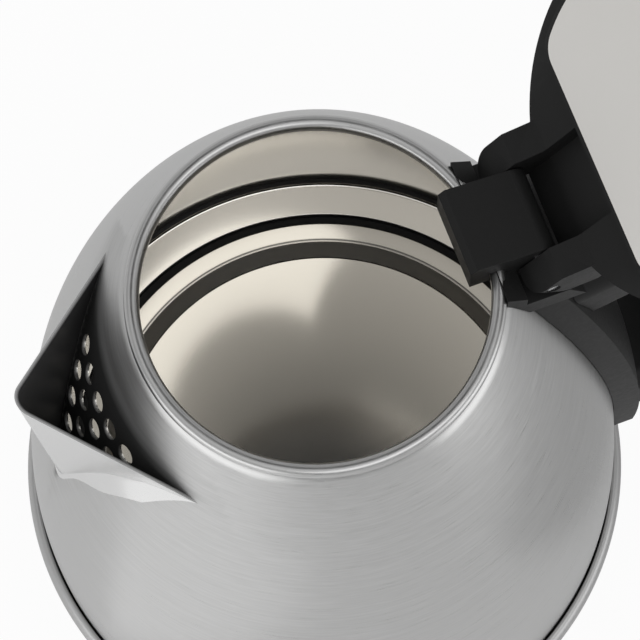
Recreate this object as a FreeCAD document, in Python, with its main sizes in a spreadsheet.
import FreeCAD, Part
import math
import os
import re

import Sketcher
from FreeCAD import Rotation, Vector

# Cordless electric kettle: a steel dome jug on a round power base.
# Millimetres. The origin is on the table, on the jug's axis. +Z is up, the spout points
# along -X and the handle along +X. The lid stands open.

SIZES = {
    # Jug
    "ring_radius": 80.0,
    "ring_level": 34.0,
    "shell_radius": 76.6,
    "dome_curve": 275.5,
    "belly_rise": 4.4,
    "dome_rise": 135.5,
    "steel_wall": 0.8,
    "mouth_radius": 38.65,
    "rim_rise": 140.5,
    "bead_radius": 1.2,
    "skirt_depth": 5.0,
    "seam_gap": 0.15,
    # Filter holes behind the spout
    "filter_rows": 5,
    "filter_hole": 2.5,
    "filter_pitch": 6.7,
    "filter_turn": 7.6,
    "filter_top": 116.6,
    # Spout
    "spout_reach": 71.8,
    "spout_tip_rise": 138.0,
    "spout_end_rise": 122.0,
    "spout_end_reach": 40.2,
    "spout_half_angle": 45.0,
    "spout_lean": 2.6,
    "spout_drop": 58.0,
    "spout_nose": 5.0,
    # Floor inside the jug
    "pan_rise": 13.0,
    "pan_corner": 1.2,
    "floor_rise": 11.5,
    "groove_radius": 64.4,
    "groove_width": 2.6,
    "groove_depth": 2.4,
    "step_radius": 57.8,
    "step_drop": 3.5,
    "floor_wall": 1.0,
    # Heater and control
    "spreader_radius": 54.0,
    "spreader_depth": 3.0,
    "element_pitch": 40.0,
    "element_radius": 3.2,
    "element_sweep": 300.0,
    "control_radius": 24.0,
    "control_depth": 2.7,
    "disc_radius": 6.0,
    "disc_offset": 12.0,
    "disc_depth": 1.0,
    # Trim ring and under cover
    "ring_width": 2.9,
    "ring_top": 3.0,
    "ring_bottom": 5.0,
    "cover_depth": 15.0,
    "cover_foot_radius": 73.5,
    "cover_wall": 2.5,
    "socket_radius": 17.2,
    "socket_bore": 12.5,
    "socket_flange": 20.0,
    # Power base
    "base_radius": 75.0,
    "base_wall": 2.5,
    "plate_depth": 2.0,
    "foot_depth": 2.0,
    "foot_radius": 7.0,
    "foot_circle": 60.0,
    "connector_radius": 11.8,
    "connector_rise": 12.5,
    "connector_flange": 17.0,
    "contact_radius": 8.0,
    "contact_groove": 2.4,
    "contact_wall": 0.9,
    "pin_contact": 1.5,
    "screw_radius": 1.5,
    "screw_head": 2.8,
    "screw_circle": 45.0,
    "gland_radius": 4.5,
    "gland_length": 9.0,
    # Hinge
    "hinge_reach": 49.0,
    "hinge_rise": 140.0,
    "lid_open_angle": 130.0,
    "pin_radius": 1.6,
    "pin_gap": 0.05,
    "knuckle_radius": 4.5,
    "knuckle_wrap": 70.0,
    "collar_half": 10.0,
    "collar_inner": 32.5,
    "collar_drop": 136.5,
    "collar_top": 146.0,
    "collar_edge": 1.5,
    "tongue_length": 8.0,
    "wing_half": 17.5,
    "wing_top": 140.9,
    "wing_front": 5.6,
    "wing_drop": 2.8,
    "wing_seat_drop": 6.1,
    "joint_gap": 0.4,
    # Lid
    "lid_radius": 42.5,
    "lid_edge": 142.0,
    "lid_height": 9.0,
    "lid_round": 4.0,
    "lid_crown": 1.5,
    "arm_half": 18.0,
    "arm_root": 33.0,
    "arm_tail": 5.2,
    "arm_sole": 2.3,
    "arm_end": 1.5,
    "arm_corner": 5.0,
    "plug_radius": 37.6,
    "plug_chord": 25.0,
    "plug_depth": 3.6,
    "plate_radius": 36.0,
    "plate_chord": 23.5,
    "plate_corner": 7.0,
    "plate_wall": 0.6,
    # Handle
    "spine_depth": 7.0,
    "spine_top": 127.0,
    "spine_foot": 4.0,
    "spine_top_half": 16.5,
    "spine_foot_half": 20.0,
    "spine_side_curve": 418.0,
    "grip_half": 13.0,
    "grip_root_half": 17.5,
    "grip_reach": 134.0,
    "grip_thickness": 22.0,
    "grip_round": 5.0,
    "grip_bend": 26.0,
    "finger_bend": 15.0,
    "arm_rise": 134.0,
    "foot_drop": 3.0,
    "foot_height": 23.0,
    "foot_reach": 104.0,
    "steam_radius": 2.2,
    # Switch in the handle's foot
    "lever_half": 8.5,
    "lever_pivot_reach": 92.0,
    "lever_pivot_rise": 3.0,
    "lever_tip_reach": 116.0,
    "lever_depth": 4.0,
    "lever_gap": 0.5,
    "lever_slot_rise": 8.0,
    "switch_half": 6.5,
    "switch_length": 12.0,
    "switch_height": 7.0,
}

doc = FreeCAD.newDocument("Kettle")
sheet = doc.addObject("Spreadsheet::Sheet", "Sizes")
for row, (alias, size) in enumerate(SIZES.items(), start=1):
    sheet.set("A%d" % row, alias)
    sheet.set("B%d" % row, str(size))
    sheet.setAlias("B%d" % row, alias)
doc.recompute()

parts = []


def bound(text):
    """The expression with each size named in the sheet."""
    return re.sub(r"[a-z][a-z_]*", lambda m: "Sizes." + m.group() if m.group() in SIZES else m.group(), text)


def value(text):
    return float(sheet.evalExpression(bound(text)))


def bind(obj, **sizes):
    for name, text in sizes.items():
        obj.setExpression(name.replace("__", "."), bound(text))
    return obj


def level(text):
    """A height given above the trim ring."""
    return "(ring_level + %s)" % text


def dome(height, offset="0"):
    """Radius of the dome, or of a surface at an offset outside it, at a height above the trim ring."""
    return "(shell_radius - dome_curve + sqrt((dome_curve + %s)^2 - (%s - belly_rise)^2))" % (offset, height)


def finish(obj, label):
    """Names a finished sub-part and keeps it for writing."""
    obj.Label = label
    parts.append(obj)
    return obj


def origin_plane(body, role):
    return [f for f in body.Origin.OriginFeatures if f.Role == role][0]


def arc_centre(start, end, radius, turn):
    """Centre of the short arc from start to end: turn 1 is counter-clockwise, -1 clockwise."""
    half = (end - start) * 0.5
    rise = math.sqrt(max(radius ** 2 - half.Length ** 2, 0.0))
    side = Vector(-half.y, half.x, 0).normalize()
    return start + half + side * (rise * turn)


def draw(sketch, corners):
    """Closes an outline. A corner is (x, y), or (x, y, radius, turn) where an arc leads to the next."""
    points = [Vector(value(c[0]), value(c[1]), 0) for c in corners]
    first = sketch.GeometryCount
    starts = []
    for i, corner in enumerate(corners):
        start, end = points[i], points[(i + 1) % len(points)]
        if len(corner) == 2:
            sketch.addGeometry(Part.LineSegment(start, end))
            starts.append((1, 2))
            continue
        radius, turn = value(corner[2]), corner[3]
        centre = arc_centre(start, end, radius, turn)
        ends = (start, end) if turn > 0 else (end, start)
        angles = [math.atan2(p.y - centre.y, p.x - centre.x) for p in ends]
        circle = Part.Circle(centre, Vector(0, 0, 1), radius)
        sketch.addGeometry(Part.ArcOfCircle(circle, angles[0], angles[1]))
        starts.append((1, 2) if turn > 0 else (2, 1))
    for i, corner in enumerate(corners):
        geo, following = first + i, first + (i + 1) % len(corners)
        joined = (geo, starts[i][1], following, starts[(i + 1) % len(corners)][0])
        sketch.addConstraint(Sketcher.Constraint("Coincident", *joined))
        at_start = (-1, 1, geo, starts[i][0])
        for kind, text, size in (("DistanceX", corner[0], points[i].x), ("DistanceY", corner[1], points[i].y)):
            index = sketch.addConstraint(Sketcher.Constraint(kind, *at_start, size))
            sketch.setExpression("Constraints[%d]" % index, bound(text))
        if len(corner) > 2:
            index = sketch.addConstraint(Sketcher.Constraint("Radius", geo, value(corner[2])))
            sketch.setExpression("Constraints[%d]" % index, bound(corner[2]))


def sketch_on(body, role, corners, offset=None):
    sketch = body.newObject("Sketcher::SketchObject", "Sketch")
    sketch.AttachmentSupport = [(origin_plane(body, role), "")]
    sketch.MapMode = "FlatFace"
    if offset:
        sketch.setExpression("AttachmentOffset.Base.z", bound(offset))
    draw(sketch, corners)
    return sketch


def lathe(name, corners):
    """A solid of revolution about the jug's axis: corners are (radius, height)."""
    body = doc.addObject("PartDesign::Body", name)
    sketch = sketch_on(body, "XZ_Plane", corners)
    turned = body.newObject("PartDesign::Revolution", "Revolution")
    turned.Profile = sketch
    turned.ReferenceAxis = (sketch, ["V_Axis"])
    turned.Angle = 360
    doc.recompute()
    return body


def slab(name, corners, half, role="XZ_Plane"):
    """An outline in the jug's middle plane, padded to both sides."""
    body = doc.addObject("PartDesign::Body", name)
    pad = body.newObject("PartDesign::Pad", "Pad")
    pad.Profile = sketch_on(body, role, corners)
    pad.Midplane = True
    bind(pad, Length="2 * (%s)" % half)
    doc.recompute()
    return body


def sheet_plate(name, corners, bottom, depth):
    """A flat outline seen from above, padded upwards."""
    body = doc.addObject("PartDesign::Body", name)
    pad = body.newObject("PartDesign::Pad", "Pad")
    pad.Profile = sketch_on(body, "XY_Plane", corners, offset=bottom)
    bind(pad, Length=depth)
    doc.recompute()
    return body


def rounded(body, radius, chosen):
    """Rounds the edges of a body that the test chooses."""
    base = body.Tip
    names = ["Edge%d" % (i + 1) for i, edge in enumerate(base.Shape.Edges) if chosen(edge)]
    feature = body.newObject("PartDesign::Fillet", "Fillet")
    feature.Base = (base, names)
    bind(feature, Radius=radius)
    doc.recompute()
    return body


def cylinder(name, radius, height, x="0", y="0", z="0", axis="Z"):
    obj = doc.addObject("Part::Cylinder", name)
    turn = {"Z": Rotation(), "X": Rotation(Vector(0, 1, 0), 90), "Y": Rotation(Vector(1, 0, 0), -90)}[axis]
    obj.Placement = FreeCAD.Placement(Vector(), turn)
    return bind(obj, Radius=radius, Height=height, Placement__Base__x=x, Placement__Base__y=y, Placement__Base__z=z)


def block(name, low, high):
    obj = doc.addObject("Part::Box", name)
    sizes = ["(%s) - (%s)" % (h, l) for l, h in zip(low, high)]
    bind(obj, Placement__Base__x=low[0], Placement__Base__y=low[1], Placement__Base__z=low[2])
    return bind(obj, Length=sizes[0], Width=sizes[1], Height=sizes[2])


def cut(base, *tools):
    for tool in tools:
        obj = doc.addObject("Part::Cut", "Cut")
        obj.Base, obj.Tool = base, tool
        base = obj
    doc.recompute()
    return base


def fuse(*shapes):
    obj = doc.addObject("Part::MultiFuse", "Fuse")
    obj.Shapes = list(shapes)
    doc.recompute()
    return obj


def common(first, second):
    obj = doc.addObject("Part::Common", "Common")
    obj.Base, obj.Tool = first, second
    doc.recompute()
    return obj


def group(*shapes):
    """Separate solids that share one node."""
    obj = doc.addObject("Part::Compound", "Group")
    obj.Links = list(shapes)
    doc.recompute()
    return obj


TOUCH = 0.01


def is_upright(edge):
    return edge.BoundBox.ZLength > TOUCH > edge.BoundBox.XLength + edge.BoundBox.YLength


def around(count, start=0.0):
    """Cosines and sines of even steps round the axis."""
    angles = [math.radians(start + 360.0 * i / count) for i in range(count)]
    return [(math.cos(a), math.sin(a)) for a in angles]


BELLY = level("belly_rise")
DOME_TOP = level("dome_rise")
BEAD_CENTRE_R = "(mouth_radius + bead_radius)"
BEAD_CENTRE_Z = level("(rim_rise - bead_radius)")
BEAD_FOOT = ("(%s + bead_radius * cos(40))" % BEAD_CENTRE_R, "(%s - bead_radius * sin(40))" % BEAD_CENTRE_Z)
SKIRT = level("(0 - skirt_depth)")
SHELL_INNER = "(shell_radius - steel_wall)"


def shell_envelope(name, offset, inner="mouth_radius - seam_gap"):
    """All that the jug's wall fills, grown by an offset: what rests on the jug is cut with it."""
    outer_top = dome("dome_rise", offset)
    return lathe(name, [
        ("shell_radius + " + offset, SKIRT),
        ("shell_radius + " + offset, BELLY, "dome_curve + " + offset, 1),
        (outer_top, DOME_TOP),
        ("%s + bead_radius + %s" % (BEAD_CENTRE_R, offset), "%s - bead_radius" % BEAD_CENTRE_Z),
        ("%s + bead_radius + %s" % (BEAD_CENTRE_R, offset), level("(rim_rise + seam_gap)")),
        (inner, level("(rim_rise + seam_gap)")),
        (inner, SKIRT),
    ])


def make_shell():
    """Spun steel dome: one long arc, a tight neck and a rolled rim, pierced behind the spout."""
    inner_rise = "(dome_rise - steel_wall)"
    wall = lathe("Dome", [
        ("shell_radius", SKIRT),
        ("shell_radius", BELLY, "dome_curve", 1),
        (dome("dome_rise"), DOME_TOP, "4 * bead_radius", -1),
        (BEAD_FOOT[0], BEAD_FOOT[1], "bead_radius", 1),
        (BEAD_CENTRE_R, level("rim_rise"), "bead_radius", 1),
        ("mouth_radius", BEAD_CENTRE_Z),
        ("mouth_radius", "%s - 1.5 * bead_radius" % BEAD_CENTRE_Z),
        (dome(inner_rise, "(0 - steel_wall)"), level(inner_rise), "dome_curve - steel_wall", -1),
        (SHELL_INNER, BELLY),
        (SHELL_INNER, SKIRT),
    ])
    drills = []
    rows = int(SIZES["filter_rows"])
    for row in range(rows):
        for place in range(rows - row):
            turn = "(%s - filter_turn * %.1f)" % (180, place - (rows - row - 1) / 2)
            drill = cylinder("Drill", "filter_hole", "2 * spout_reach", z=level("(filter_top - filter_pitch * %d)" % row),
                             axis="X")
            lean = FreeCAD.Placement(Vector(), Rotation(Vector(0, 0, 1), value(turn)))
            drill.Placement = FreeCAD.Placement(drill.Placement.Base, lean.Rotation * drill.Placement.Rotation)
            drills.append(drill)
    return finish(cut(wall, group(*drills)), "body_shell")


def make_spout():
    """Folded sheet: two flat faces that meet in a rounded nose and run into the dome as tangents."""
    body = doc.addObject("PartDesign::Body", "SpoutFold")
    back = "(6 - spout_end_reach)"
    spread = "tan(spout_half_angle)"

    def fold(inset):
        """Corners of the V: upper arm, nose and lower arm, moved inwards by the sheet's thickness."""
        tip = "(0 - spout_reach + %s / sin(spout_half_angle))" % inset
        radius = "(spout_nose - %s)" % inset
        run = "(%s * cos(spout_half_angle) / tan(spout_half_angle))" % radius
        side = "(%s * cos(spout_half_angle))" % radius
        arm = "((%s - %s) * %s)" % (back, tip, spread)
        return [(back, arm), ("%s + %s" % (tip, run), side, radius), (back, "0 - " + arm)], tip, run, side

    outer, tip, run, side = fold("0")
    inner, inner_tip, inner_run, inner_side = fold("steel_wall")
    corners = [
        outer[0],
        ("%s + %s" % (tip, run), side, "spout_nose", 1),
        ("%s + %s" % (tip, run), "0 - " + side),
        outer[2],
        inner[2],
        ("%s + %s" % (inner_tip, inner_run), "0 - " + inner_side, "spout_nose - steel_wall", -1),
        ("%s + %s" % (inner_tip, inner_run), inner_side),
        inner[0],
    ]
    pad = body.newObject("PartDesign::Pad", "Pad")
    pad.Profile = sketch_on(body, "XY_Plane", corners, offset=level("(spout_tip_rise + 4)"))
    pad.UseCustomVector = True
    pad.Direction = Vector(value("spout_lean"), 0, -value("spout_drop"))
    bind(pad, Length="1.6 * spout_drop")
    doc.recompute()
    slope = "((spout_tip_rise - spout_end_rise) / (spout_reach - spout_end_reach))"
    lip = slab("LipCut", [
        ("0 - spout_reach - 20", level("(spout_tip_rise + 20 * %s)" % slope)),
        ("0", level("(spout_end_rise - spout_end_reach * %s)" % slope)),
        ("0", level("(spout_tip_rise + 60)")),
        ("0 - spout_reach - 20", level("(spout_tip_rise + 60)")),
    ], "ring_radius")
    jug = shell_envelope("SpoutSeat", "0.5 * seam_gap", inner="0")
    return finish(cut(body, lip, jug), "spout")


def make_floor():
    top = level("floor_rise")
    low = level("(floor_rise - step_drop)")
    outer = "(%s - 0.5 * seam_gap)" % dome("pan_rise", "(0 - steel_wall)")
    inner = "(%s - steel_wall)" % outer
    return finish(lathe("Floor", [
        ("0", "%s - floor_wall" % low),
        ("groove_radius + groove_width", "%s - floor_wall" % low),
        ("groove_radius + groove_width", "%s - steel_wall" % top),
        ("%s - pan_corner" % inner, "%s - steel_wall" % top, "pan_corner + steel_wall", 1),
        (outer, "%s + pan_corner" % top),
        (outer, level("pan_rise")),
        (inner, level("pan_rise")),
        (inner, "%s + pan_corner" % top, "pan_corner", -1),
        ("%s - pan_corner" % inner, top),
        ("groove_radius + 0.5 * groove_width", top),
        ("groove_radius + 0.5 * groove_width", "%s - groove_depth" % top),
        ("groove_radius - 0.5 * groove_width", "%s - groove_depth" % top),
        ("groove_radius - 0.5 * groove_width", top),
        ("step_radius", top),
        ("step_radius - step_drop", low),
        ("0", low),
    ]), "floor_pan")


SPREADER_TOP = level("(floor_rise - step_drop - floor_wall - seam_gap)")
SPREADER_FOOT = "(%s - spreader_depth)" % SPREADER_TOP
CONTROL_TOP = "(%s - disc_depth - seam_gap)" % SPREADER_FOOT
CONTROL_FOOT = "(%s - control_depth)" % CONTROL_TOP
SOCKET_TOP = "(%s - seam_gap)" % CONTROL_FOOT
COVER_FOOT = level("(0 - cover_depth)")
COVER_PLATE = "(%s + cover_wall)" % COVER_FOOT
COVER_INSIDE = "(%s + cover_wall)" % COVER_PLATE
BASE_TOP = "(%s - seam_gap)" % COVER_FOOT
PLATE_TOP = "(foot_depth + plate_depth)"


def make_heater():
    finish(cylinder("Spreader", "spreader_radius", "spreader_depth", z=SPREADER_FOOT), "heat_spreader")
    tube = doc.addObject("Part::Torus", "Element")
    bind(tube, Radius1="element_pitch", Radius2="element_radius", Angle3="element_sweep")
    bind(tube, Placement__Base__z="%s - element_radius - seam_gap" % SPREADER_FOOT)
    finish(tube, "heating_element")
    finish(cylinder("Control", "control_radius", "control_depth", z=CONTROL_FOOT), "control_unit")
    discs = [cylinder("Disc", "disc_radius", "disc_depth", y="%d * disc_offset" % side, z=CONTROL_TOP)
             for side in (-1, 1)]
    finish(group(*discs), "bimetal_discs")


def make_underside():
    """Polished trim ring, plastic under cover with its screws, and the socket in the middle."""
    seat = "(ring_radius - ring_width)"
    finish(lathe("Ring", [
        (seat, level("(0 - ring_bottom)")),
        ("ring_radius - 0.6", level("(0 - ring_bottom)")),
        ("ring_radius", level("0"), "3.4", 1),
        ("%s + 0.9" % seat, level("ring_top")),
        (seat, level("(ring_top - 0.8)")),
    ]), "base_ring")
    joint = level("(0 - ring_bottom - seam_gap)")
    cover = lathe("Cover", [
        ("socket_radius + seam_gap", COVER_PLATE),
        ("cover_foot_radius - 4.5", COVER_PLATE),
        ("cover_foot_radius - 3.5", COVER_FOOT),
        ("cover_foot_radius", COVER_FOOT, "20", 1),
        ("ring_radius - 0.8", joint),
        ("%s - seam_gap" % SHELL_INNER, joint),
        ("%s - seam_gap" % SHELL_INNER, level("(0 - 1)")),
        ("%s - cover_wall" % SHELL_INNER, level("(0 - 1)")),
        ("cover_foot_radius - 4.5", COVER_INSIDE),
        ("socket_radius + seam_gap", COVER_INSIDE),
    ])
    screws, holes = [], []
    for c, s in around(3, 60):
        place = ("%.4f * screw_circle" % c, "%.4f * screw_circle" % s)
        shank = cylinder("Shank", "screw_radius", "2 * cover_wall", *place, z=COVER_PLATE)
        head = cylinder("Head", "screw_head", "0.5 * cover_wall", *place, z=COVER_PLATE)
        hole = cylinder("Hole", "screw_radius + 0.5 * seam_gap", "2 * cover_wall", *place, z=COVER_PLATE)
        sink = cylinder("Sink", "screw_head + 0.5 * seam_gap", "0.5 * cover_wall + seam_gap", *place,
                        z="%s - 0.5 * seam_gap" % COVER_PLATE)
        screws.append(fuse(shank, head))
        holes += [hole, sink]
    finish(cut(cover, group(*holes)), "under_cover")
    finish(group(*screws), "cover_screws")
    roof = "(%s - 1.5)" % SOCKET_TOP
    finish(lathe("Socket", [
        ("socket_bore", COVER_PLATE),
        ("socket_radius", COVER_PLATE),
        ("socket_radius", "%s + seam_gap" % COVER_INSIDE),
        ("socket_flange", "%s + seam_gap" % COVER_INSIDE),
        ("socket_flange", "%s + cover_wall" % COVER_INSIDE),
        ("socket_radius", "%s + cover_wall" % COVER_INSIDE),
        ("socket_radius", SOCKET_TOP),
        ("0", SOCKET_TOP),
        ("0", roof),
        ("socket_bore", roof),
    ]), "kettle_socket")
    pin = cylinder("Pin", "pin_contact", "0.5 * connector_rise", z="%s - 0.5 * connector_rise - seam_gap" % roof)
    sleeve = lathe("Sleeve", [
        ("contact_radius - 0.5 * contact_wall", "%s - 0.4 * connector_rise" % roof),
        ("contact_radius + 0.5 * contact_wall", "%s - 0.4 * connector_rise" % roof),
        ("contact_radius + 0.5 * contact_wall", "%s - seam_gap" % roof),
        ("contact_radius - 0.5 * contact_wall", "%s - seam_gap" % roof),
    ])
    finish(group(pin, sleeve), "socket_contacts")


def make_power_base():
    bore = "(connector_radius + seam_gap)"
    housing = lathe("Housing", [
        (bore, "%s - base_wall" % BASE_TOP),
        ("base_radius - 2 * base_wall", "%s - base_wall" % BASE_TOP),
        ("base_radius - base_wall", PLATE_TOP),
        ("base_radius - base_wall", "foot_depth"),
        ("base_radius", "foot_depth"),
        ("base_radius", "%s - 4" % BASE_TOP, "4", 1),
        ("base_radius - 4", BASE_TOP),
        (bore, BASE_TOP),
    ])
    gland_z = "(0.5 * (%s + %s - base_wall))" % (PLATE_TOP, BASE_TOP)
    gland_start = "(base_radius - 2.4 * base_wall)"
    gland_hole = cylinder("GlandHole", "gland_radius + 0.5 * seam_gap", "2 * gland_length", x=gland_start,
                          z=gland_z, axis="X")
    finish(cut(housing, gland_hole), "base_housing")
    bush = cylinder("Bush", "gland_radius", "gland_length", x=gland_start, z=gland_z, axis="X")
    cable = cylinder("CableBore", "0.75 * gland_radius", "2 * gland_length", x="%s - 1" % gland_start, z=gland_z,
                     axis="X")
    finish(cut(bush, cable), "cord_gland")
    plate = cylinder("Plate", "base_radius - base_wall - seam_gap", "plate_depth", z="foot_depth")
    screws, holes = [], []
    for c, s in around(3, 60):
        place = ("%.4f * screw_circle" % c, "%.4f * screw_circle" % s)
        head = cylinder("Head", "screw_head", "0.6 * plate_depth", *place, z="foot_depth")
        shank = cylinder("Shank", "screw_radius", "3 * plate_depth", *place, z="foot_depth")
        sink = cylinder("Sink", "screw_head + 0.5 * seam_gap", "0.6 * plate_depth + 0.5 * seam_gap", *place,
                        z="foot_depth")
        hole = cylinder("Hole", "screw_radius + 0.5 * seam_gap", "3 * plate_depth", *place, z="foot_depth")
        screws.append(fuse(head, shank))
        holes += [sink, hole]
    finish(cut(plate, group(*holes)), "base_plate")
    finish(group(*screws), "base_screws")
    feet = [cylinder("Foot", "foot_radius", "foot_depth", "%.4f * foot_circle" % c, "%.4f * foot_circle" % s)
            for c, s in around(3)]
    finish(group(*feet), "base_feet")
    top = "(%s + connector_rise)" % BASE_TOP
    groove_low = "contact_radius - 0.5 * contact_groove"
    groove_high = "contact_radius + 0.5 * contact_groove"
    well = "(contact_radius - contact_groove - 1.4)"
    finish(lathe("Connector", [
        (well, PLATE_TOP),
        ("connector_flange", PLATE_TOP),
        ("connector_flange", "%s - base_wall - seam_gap" % BASE_TOP),
        ("connector_radius", "%s - base_wall - seam_gap" % BASE_TOP),
        ("connector_radius", "%s - 1" % top),
        ("connector_radius - 1", top),
        (groove_high, top),
        (groove_high, "%s - 0.8 * connector_rise" % top),
        (groove_low, "%s - 0.8 * connector_rise" % top),
        (groove_low, top),
        (well, top),
    ]), "base_connector")
    lining = lathe("Lining", [
        ("%s - contact_wall" % well, "%s - connector_rise" % top),
        ("%s - seam_gap" % well, "%s - connector_rise" % top),
        ("%s - seam_gap" % well, "%s - 2" % top),
        ("%s - contact_wall" % well, "%s - 2" % top),
    ])
    finish(lining, "connector_contacts")


PIN_Z = level("hinge_rise")


def opened(obj, label):
    """Turns a lid piece, drawn closed, about the hinge pin to where the lid stands open."""
    doc.recompute()
    obj.Placement = FreeCAD.Placement(Vector(), Rotation(Vector(0, 1, 0), 1))
    bind(obj, Placement__Rotation__Angle="lid_open_angle",
         Placement__Base__x="hinge_reach - hinge_reach * cos(lid_open_angle) - %s * sin(lid_open_angle)" % PIN_Z,
         Placement__Base__z="%s + hinge_reach * sin(lid_open_angle) - %s * cos(lid_open_angle)" % (PIN_Z, PIN_Z))
    doc.recompute()
    return finish(obj, label)


def make_hinge():
    """Collar clipped over the rim: a tongue inside the mouth, wings outside and the middle knuckle."""
    saddle = level("(spine_top + 2 * seam_gap)")
    knuckle = "(knuckle_radius - joint_gap)"
    tongue = slab("Tongue", [
        ("collar_inner", level("collar_drop")),
        ("collar_inner + tongue_length", level("collar_drop")),
        ("collar_inner + tongue_length", saddle),
        ("hinge_reach + %s" % knuckle, saddle),
        ("hinge_reach + %s * cos(knuckle_wrap)" % knuckle, "%s - %s * sin(knuckle_wrap)" % (PIN_Z, knuckle), knuckle, 1),
        ("hinge_reach", "%s + %s" % (PIN_Z, knuckle)),
        ("collar_inner + collar_edge", level("collar_top")),
        ("collar_inner", level("(collar_top - collar_edge)")),
    ], "collar_half")
    front = "(hinge_reach - wing_front)"
    under = "(%s - wing_seat_drop)" % PIN_Z
    wings = slab("Wings", [
        ("mouth_radius - seam_gap", saddle),
        ("hinge_reach + 2 * knuckle_radius", saddle),
        ("hinge_reach + knuckle_radius", under),
        (front, under),
        (front, "%s - wing_drop" % PIN_Z),
        ("mouth_radius - seam_gap", level("wing_top")),
    ], "wing_half")
    jug = shell_envelope("CollarSeat", "seam_gap")
    bore = cylinder("PinBore", "pin_radius + pin_gap", "4 * wing_half", "hinge_reach", "0 - 2 * wing_half", PIN_Z,
                    axis="Y")
    finish(cut(fuse(tongue, wings), jug, bore), "hinge_collar")
    pin = cylinder("HingePin", "pin_radius", "2 * (arm_half - joint_gap)", "hinge_reach", "joint_gap - arm_half", PIN_Z,
                   axis="Y")
    finish(pin, "hinge_pin")


def d_shape(radius, chord, corner):
    """A circle cut straight across towards the hinge, with the two corners rounded."""
    inner = "(%s - %s)" % (radius, corner)
    centre_x = "(%s - %s)" % (chord, corner)
    centre_y = "sqrt(%s^2 - %s^2)" % (inner, centre_x)
    grow = "(%s / %s)" % (radius, inner)
    meet = ("%s * %s" % (centre_x, grow), "%s * %s" % (centre_y, grow))
    far = "(0 - %s)" % radius
    return [
        (chord, "0 - " + centre_y),
        (chord, centre_y, corner, 1),
        (meet[0], meet[1], radius, 1),
        (far, "0", radius, 1),
        (meet[0], "0 - " + meet[1], corner, 1),
    ]


def make_lid():
    top = level("(lid_edge + lid_height)")
    cap = lathe("Cap", [
        ("0", level("lid_edge")),
        ("lid_radius", level("lid_edge")),
        ("lid_radius", "%s - lid_round" % top, "lid_round", 1),
        ("lid_radius - lid_round", top),
        ("0", "%s + lid_crown" % top),
    ])
    plug = sheet_plate("Plug", d_shape("plug_radius", "plug_chord", "plate_corner"),
                       level("(lid_edge - plug_depth)"), "plug_depth + 1")
    sole = "(%s - arm_sole)" % PIN_Z
    arm = slab("Arm", [
        ("arm_root", level("(lid_edge + 1)")),
        ("mouth_radius - seam_gap", level("(wing_top + 2 * joint_gap)")),
        ("hinge_reach - wing_front + joint_gap", sole),
        ("hinge_reach + arm_tail", sole),
        ("hinge_reach + arm_tail", "%s + arm_end" % PIN_Z),
        ("hinge_reach - knuckle_radius", "%s - 0.5 * lid_crown" % top),
        ("arm_root", top),
    ], "arm_half")
    tail = value("hinge_reach + arm_tail")
    rounded(arm, "arm_corner", lambda edge: is_upright(edge) and abs(edge.CenterOfMass.x - tail) < TOUCH)
    gap_half = "(collar_half + joint_gap)"
    slot = block("TongueSlot",
                 ("plug_chord + 1", "0 - " + gap_half, level("(lid_edge - 2 * lid_height)")),
                 ("hinge_reach + 3 * knuckle_radius", gap_half, level("(collar_top + 2 * joint_gap)")))
    pin_path = cylinder("KnuckleBore", "pin_radius + pin_gap", "4 * arm_half", "hinge_reach", "0 - 2 * arm_half", PIN_Z,
                        axis="Y")
    clearing = cylinder("KnuckleSweep", "knuckle_radius + joint_gap", "2 * " + gap_half, "hinge_reach",
                        "0 - " + gap_half, PIN_Z, axis="Y")
    opened(cut(fuse(cap, plug, arm), slot, pin_path, clearing), "lid_cap")
    plate = sheet_plate("Plate", d_shape("plate_radius", "plate_chord", "plate_corner"),
                        level("(lid_edge - plug_depth - plate_wall - 0.5 * seam_gap)"), "plate_wall")
    opened(plate, "lid_plate")


def spine_envelope(name, offset):
    """The dome grown outwards, down to the table and up over the spine's top."""
    high = "(spine_top + 4)"
    return lathe(name, [
        ("0", "0"),
        ("shell_radius + " + offset, "0"),
        ("shell_radius + " + offset, BELLY, "dome_curve + " + offset, 1),
        (dome(high, offset), level(high)),
        ("0", level(high)),
    ])


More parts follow.
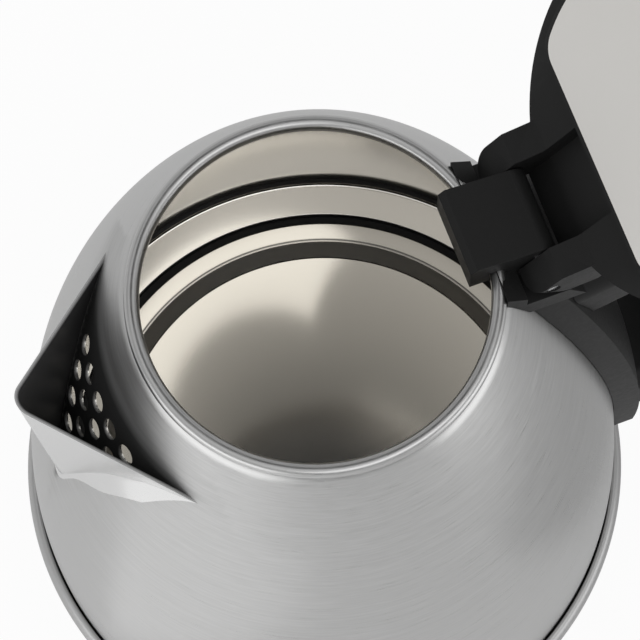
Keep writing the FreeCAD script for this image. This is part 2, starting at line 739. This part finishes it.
def make_handle():
    """Spine that hugs the dome, D grip with its foot, and the steam tube inside the spine."""
    grown = spine_envelope("SpineOuter", "spine_depth")
    jug = spine_envelope("SpineSeat", "seam_gap")
    face = slab("SpineFace", [
        ("0 - spine_foot_half", level("spine_foot")),
        ("spine_foot_half", level("spine_foot"), "spine_side_curve", 1),
        ("spine_top_half", level("spine_top")),
        ("0 - spine_top_half", level("spine_top"), "spine_side_curve", 1),
    ], "2 * ring_radius", role="YZ_Plane")
    behind = block("Front", ("0 - 3 * ring_radius", "0 - 3 * ring_radius", "0"),
                   ("20", "3 * ring_radius", "3 * ring_radius"))
    channel = doc.addObject("Part::Torus", "SteamChannel")
    tube = doc.addObject("Part::Torus", "SteamTube")
    for ring, radius, trim in ((channel, "steam_radius + 0.5 * seam_gap", "0"), (tube, "steam_radius", "0.1")):
        ring.Placement = FreeCAD.Placement(Vector(), Rotation(Vector(1, 0, 0), 90))
        start = "(asin((spine_foot + 16 - belly_rise) / dome_curve) / 1 deg)"
        end = "(asin((spine_top - 12 - belly_rise) / dome_curve) / 1 deg)"
        bind(ring, Radius1="dome_curve + 0.5 * spine_depth + 0.5 * seam_gap", Radius2=radius,
             Placement__Base__x="shell_radius - dome_curve", Placement__Base__z=BELLY)
        turned = ring.Placement.Rotation
        bind(ring, Angle3="%s - %s - 2 * %s" % (end, start, trim))
        doc.recompute()
        lift = Rotation(Vector(0, 1, 0), -value("%s + %s" % (start, trim)))
        ring.Placement = FreeCAD.Placement(ring.Placement.Base, lift * turned)
    finish(cut(common(grown, face), jug, behind, channel), "handle_spine")
    finish(tube, "steam_tube")

    make_switch(make_grip())


def make_grip():
    """D grip: bent outline in the middle plane, broad at the spine and narrower at the hand."""
    arm_foot = "(arm_rise - grip_thickness)"
    back = [
        ("foot_reach", level("(0 - foot_drop)")),
        ("grip_reach - 0.5 * grip_thickness", level("foot_height")),
        ("grip_reach", level(arm_foot)),
        ("grip_reach - 0.8 * grip_thickness", level("arm_rise")),
    ]
    fingers = [
        ("grip_reach - 1.6 * grip_thickness", level(arm_foot)),
        ("grip_reach - grip_thickness", level("(%s - 0.5 * grip_thickness)" % arm_foot)),
        ("grip_reach - 1.5 * grip_thickness", level("(foot_height + 0.5 * grip_thickness)")),
        ("grip_reach - 2 * grip_thickness", level("(foot_height - foot_drop)")),
    ]
    roots = [
        ("hinge_reach", level("(arm_rise - 0.5 * grip_thickness)")),
        ("hinge_reach", level("(%s - 0.5 * grip_thickness)" % arm_foot)),
        ("hinge_reach", level("(foot_height - foot_drop)")),
        ("hinge_reach", level("(0 - foot_drop)")),
    ]
    grip = slab("Grip", back + roots[:2] + fingers + roots[2:], "grip_root_half")
    narrowed(grip)
    rounded(grip, "grip_bend", lambda edge: crosses_at(edge, back))
    rounded(grip, "finger_bend", lambda edge: crosses_at(edge, fingers))
    start = value("hinge_reach") + TOUCH
    rounded(grip, "grip_round", lambda edge: edge.BoundBox.XMin > start and lies_on_one_side(edge)
            or edge.BoundBox.XLength > value("spine_depth") and lies_on_one_side(edge))
    return grip


def narrowed(grip):
    """Cuts both sides of the grip to a taper from the spine to the hand."""
    for side in ("", "0 - "):
        pocket = grip.newObject("PartDesign::Pocket", "Taper")
        ends = [("hinge_reach", side + "grip_root_half"), ("grip_reach + 1", side + "grip_root_half"),
                ("grip_reach + 1", side + "grip_half")]
        pocket.Profile = sketch_on(grip, "XY_Plane", ends)
        pocket.Type = "ThroughAll"
        pocket.Midplane = True
        doc.recompute()


def crosses_at(edge, corners):
    """Whether an edge runs across the grip at one of the outline's corners."""
    middle = edge.CenterOfMass
    near = [abs(middle.x - value(x)) + abs(middle.z - value(z)) < TOUCH for x, z in corners]
    return edge.BoundBox.YLength > value("grip_half") and any(near)


def lies_on_one_side(edge):
    """Whether an edge stays on the left or on the right of the grip."""
    return edge.BoundBox.YMin > TOUCH or edge.BoundBox.YMax < -TOUCH


def make_switch(grip):
    """Seats the grip on the spine and cuts it for the steam switch, its pivot and its paddle."""
    seat = spine_envelope("GripSeat", "spine_depth + seam_gap")
    slot_half = "(lever_half + lever_gap)"
    pivot_z = level("lever_pivot_rise")
    slot = block("LeverSlot", ("ring_radius", "0 - " + slot_half, level("(0 - 2 * foot_drop)")),
                 ("grip_reach", slot_half, level("lever_slot_rise")))
    bore = cylinder("LeverBore", "pin_radius + pin_gap", "4 * grip_half", "lever_pivot_reach", "0 - 2 * grip_half",
                    pivot_z, axis="Y")
    switch_x = "(ring_radius + spine_depth)"
    switch_end = "(%s + switch_length)" % switch_x
    pocket = block("SwitchPocket", ("%s - seam_gap" % switch_x, "0 - switch_half - seam_gap", level("0")),
                   ("%s + seam_gap" % switch_end, "switch_half + seam_gap",
                    level("(lever_slot_rise + switch_height + seam_gap)")))
    finish(cut(grip, seat, slot, bore, pocket), "handle_grip")
    finish(block("Switch", (switch_x, "0 - switch_half", level("lever_slot_rise")),
                 (switch_end, "switch_half", level("(lever_slot_rise + switch_height)"))), "switch_body")
    finish(cylinder("SwitchPin", "pin_radius", "2 * (grip_half - 1)", "lever_pivot_reach", "1 - grip_half", pivot_z,
                    axis="Y"), "switch_pin")
    lever = slab("Lever", [
        ("lever_pivot_reach - 6", "%s - 0.5 * lever_depth" % pivot_z),
        ("lever_tip_reach - 4", "%s - 0.5 * lever_depth - 1" % pivot_z),
        ("lever_tip_reach", "%s - 0.5 * lever_depth + 0.5" % pivot_z),
        ("lever_tip_reach", "%s + 0.5 * lever_depth" % pivot_z),
        ("lever_pivot_reach - 6", "%s + 0.5 * lever_depth" % pivot_z),
    ], "lever_half")
    lever_bore = cylinder("LeverHole", "pin_radius + pin_gap", "4 * grip_half", "lever_pivot_reach", "0 - 2 * grip_half",
                          pivot_z, axis="Y")
    hub = cylinder("LeverHub", "2.2 * pin_radius", "2 * lever_half", "lever_pivot_reach", "0 - lever_half", pivot_z,
                   axis="Y")
    finish(cut(fuse(lever, hub), lever_bore), "switch_lever")


make_shell()
make_spout()
make_floor()
make_heater()
make_underside()
make_power_base()
make_hinge()
make_lid()
make_handle()

doc.recompute()
faults = [obj.Name for obj in doc.Objects if {"Invalid", "Error"} & set(obj.State)]
faults += [p.Label for p in parts if p.Shape.isNull() or not p.Shape.isValid() or not p.Shape.Solids]
if faults:
    raise RuntimeError("failed objects: " + ", ".join(faults))

os.makedirs("parts", exist_ok=True)
for part in parts:
    part.Shape.exportStep(os.path.join("parts", part.Label + ".step"))
    print(part.Label, len(part.Shape.Solids), "solids", round(part.Shape.Volume, 1), "mm3")
